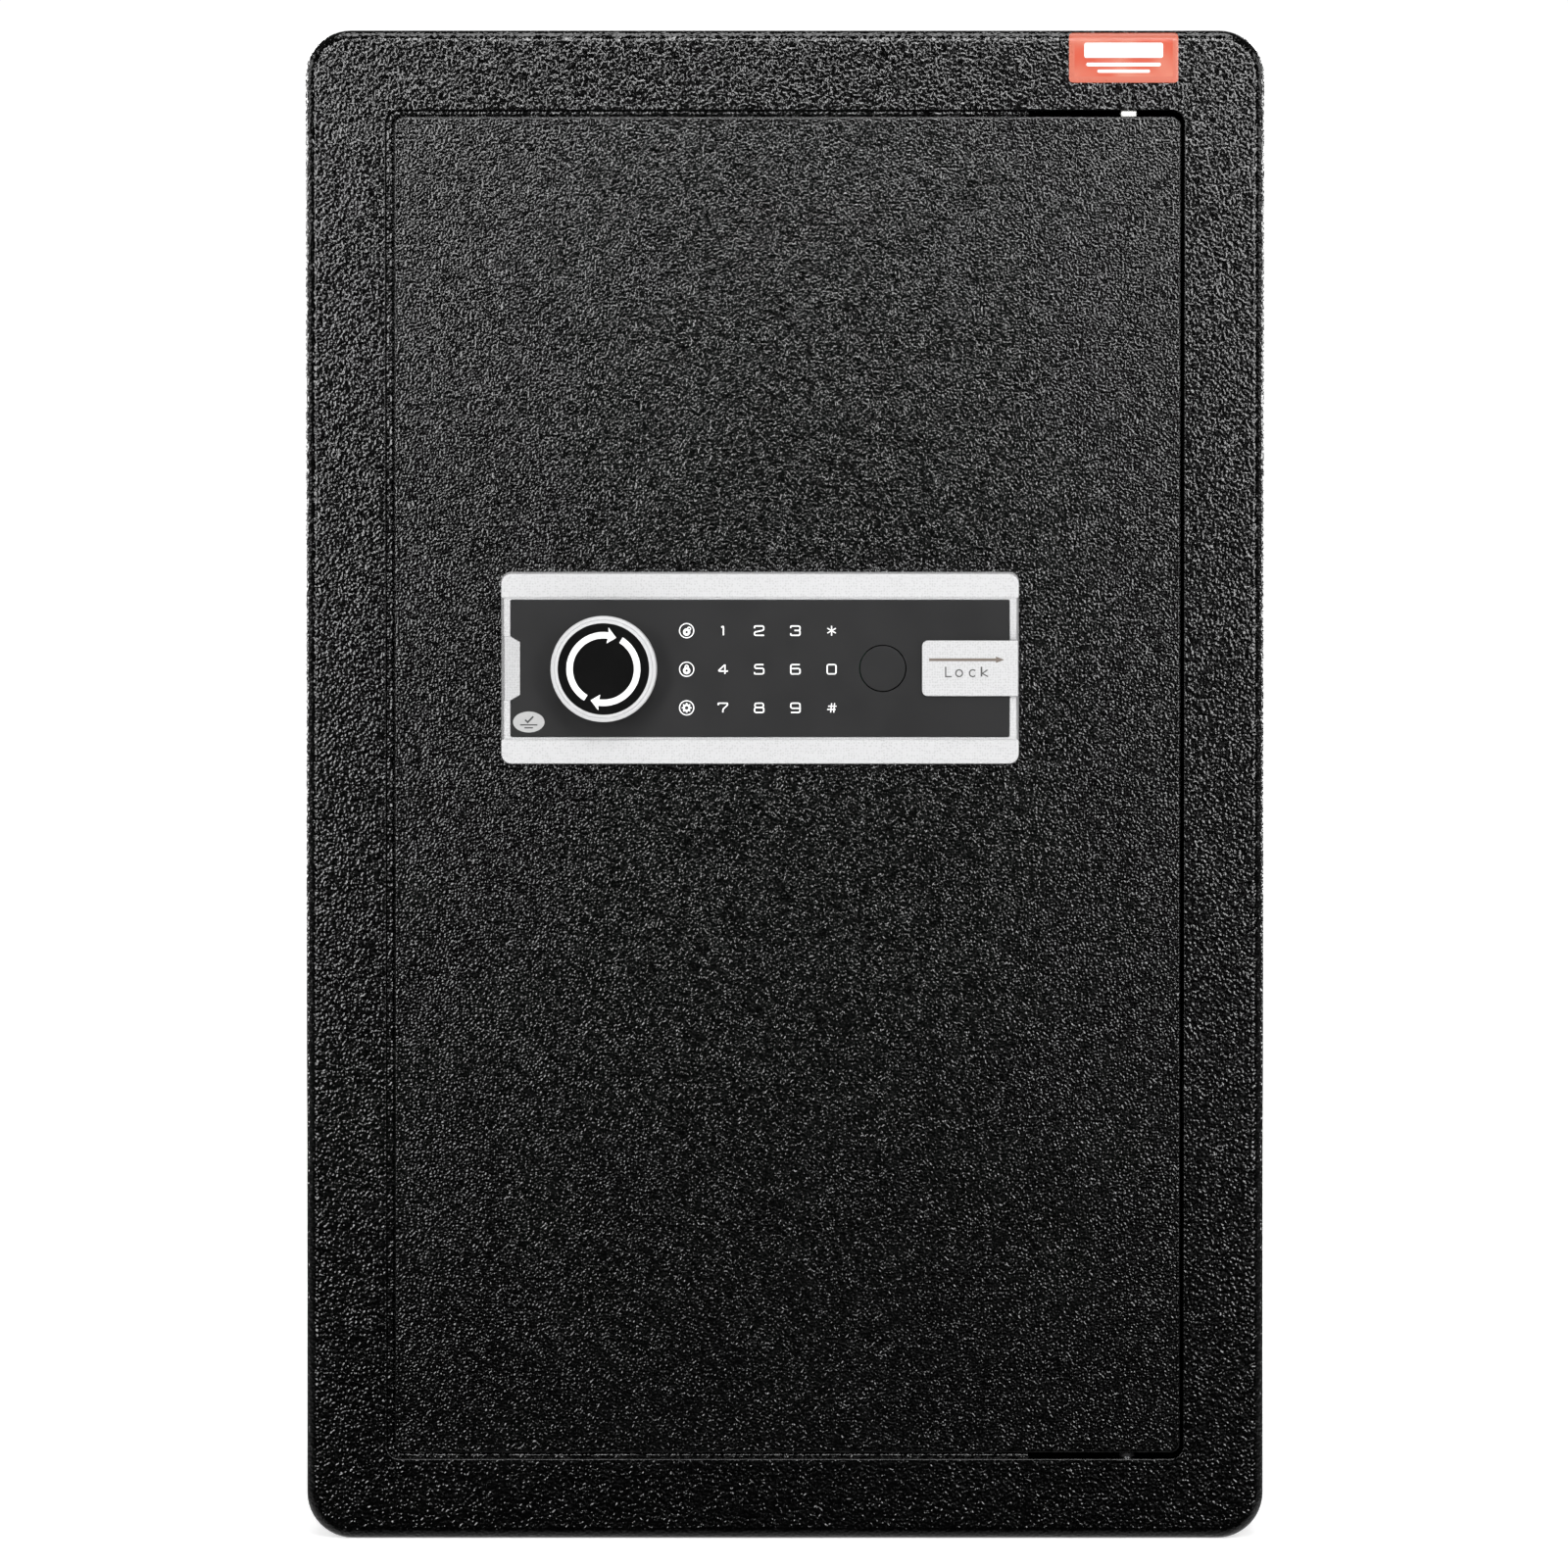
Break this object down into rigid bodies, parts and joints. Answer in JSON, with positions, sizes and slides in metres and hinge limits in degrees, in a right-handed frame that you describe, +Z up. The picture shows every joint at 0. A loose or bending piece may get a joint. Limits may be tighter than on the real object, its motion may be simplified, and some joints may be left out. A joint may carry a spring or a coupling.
{
  "type": "electronic safe",
  "caption": "Tall steel home safe with a flush hinged door, sliding locking bolts worked by a knob through a rack, an electronic lock panel and a lift-out shelf.",
  "frame": {"origin": "centre of the flat base, on the surface that the safe stands on", "axes": "+Z up, -Y out of the front (the door), +X towards the hinge side"},
  "size_m": [0.4, 0.3862, 0.63],
  "materials": {
    "cabinet_paint": "textured black powder coat",
    "door_paint": "textured black powder coat",
    "felt": "needle felt",
    "label_print": "printed label",
    "zinc_steel": "zinc plated",
    "bolt_steel": "turned and plated",
    "white_nylon": "moulded nylon",
    "black_plastic": "fine grain",
    "silver_plastic": "silver sprayed plastic",
    "panel_plastic": "satin dark panel",
    "white_print": "printed",
    "grey_print": "printed",
    "sticker": "printed",
    "green_board": "lacquered board",
    "coil_wire": "wrapped winding",
    "cell_sleeve": "printed sleeve",
    "knob_silver": "satin ring",
    "knob_black": "gloss",
    "key_brass": "machined",
    "red_plastic": "moulded"
  },
  "bodies": {
    "cabinet": {"body_shell": "cabinet_paint", "back_panel": "cabinet_paint", "front_frame": "cabinet_paint", "door_stop": "cabinet_paint", "opening_ledge": "cabinet_paint", "top_hinge_bracket": "cabinet_paint", "bottom_hinge_bracket": "cabinet_paint", "top_hinge_pin": "zinc_steel", "bottom_hinge_pin": "zinc_steel", "left_shelf_rail": "cabinet_paint", "right_shelf_rail": "cabinet_paint", "floor_mat": "felt", "front_label": "label_print"},
    "shelf": {"shelf": "cabinet_paint", "shelf_mat": "felt"},
    "door": {"door_plate": "door_paint", "door_casing": "door_paint", "door_back_cover": "door_paint", "cover_screws": "zinc_steel", "hinge_blocks": "zinc_steel", "top_hinge_bush": "white_nylon", "bottom_hinge_bush": "black_plastic", "guide_studs": "zinc_steel", "bolt_sleeves": "black_plastic", "lock_bezel": "silver_plastic", "key_panel": "panel_plastic", "key_legends": "white_print", "blank_disc": "panel_plastic", "check_sticker": "sticker", "circuit_board": "green_board", "spindle_bearing": "white_nylon", "solenoid_frame": "zinc_steel", "solenoid_coil": "coil_wire", "solenoid_spring": "zinc_steel", "lock_barrel": "zinc_steel", "power_socket": "zinc_steel", "battery_box": "black_plastic", "batteries": "cell_sleeve", "reset_switch": "black_plastic"},
    "bolt_work": {"bolt_carriage": "zinc_steel", "bolt_rack": "zinc_steel", "upper_bolt": "bolt_steel", "middle_bolt": "bolt_steel", "lower_bolt": "bolt_steel", "bolt_screws": "zinc_steel"},
    "knob": {"knob_ring": "knob_silver", "knob_face": "knob_black", "knob_arrows": "white_print", "knob_spindle": "zinc_steel", "pinion": "zinc_steel", "spindle_clip": "zinc_steel"},
    "plunger": {"solenoid_plunger": "bolt_steel"},
    "emergency_key_plug": {"key_plug": "key_brass"},
    "key_cover": {"lock_cover": "silver_plastic", "lock_cover_legend": "grey_print"},
    "power_cover": {"port_cover": "silver_plastic"},
    "battery_door": {"battery_lid": "black_plastic"},
    "reset_key": {"reset_button": "red_plastic"}
  },
  "joints": [
    {"name": "door_swing", "type": "hinge", "parent": "cabinet", "child": "door", "pos_m": [0.1433, -0.172, 0.315], "axis": [0, 0, 1], "range_deg": [0, 110]},
    {"name": "bolt_slide", "type": "slide", "parent": "door", "child": "bolt_work", "axis": [-1, 0, 0], "range_m": [0, 0.0212]},
    {"name": "knob_turn", "type": "hinge", "parent": "door", "child": "knob", "pos_m": [-0.0751, -0.198, 0.3638], "axis": [0, -1, 0], "range_deg": [0, 90]},
    {"name": "plunger_slide", "type": "slide", "parent": "door", "child": "plunger", "axis": [0, 0, 1], "range_m": [0, 0.007], "deforming": ["solenoid_spring"]},
    {"name": "key_turn", "type": "hinge", "parent": "door", "child": "emergency_key_plug", "pos_m": [0.076, -0.18, 0.36405], "axis": [0, 1, 0], "range_deg": [0, 90]},
    {"name": "key_cover_slide", "type": "slide", "parent": "door", "child": "key_cover", "axis": [1, 0, 0], "range_m": [0, 0.026]},
    {"name": "power_cover_slide", "type": "slide", "parent": "door", "child": "power_cover", "axis": [-1, 0, 0], "range_m": [0, 0.009]},
    {"name": "battery_door_slide", "type": "slide", "parent": "door", "child": "battery_door", "axis": [0, 0, -1], "range_m": [0, 0.03]},
    {"name": "reset_press", "type": "slide", "parent": "door", "child": "reset_key", "axis": [0, -1, 0], "range_m": [0, 0.0015], "stiffness_N_per_m": 200},
    {"name": "shelf_lift", "type": "slide", "parent": "cabinet", "child": "shelf", "axis": [0, 0, 1], "range_m": [0, 0.03]}
  ],
  "couplings": [
    {"joint": "knob_turn", "follows": "bolt_slide", "rad_per_m": 74.074}
  ]
}
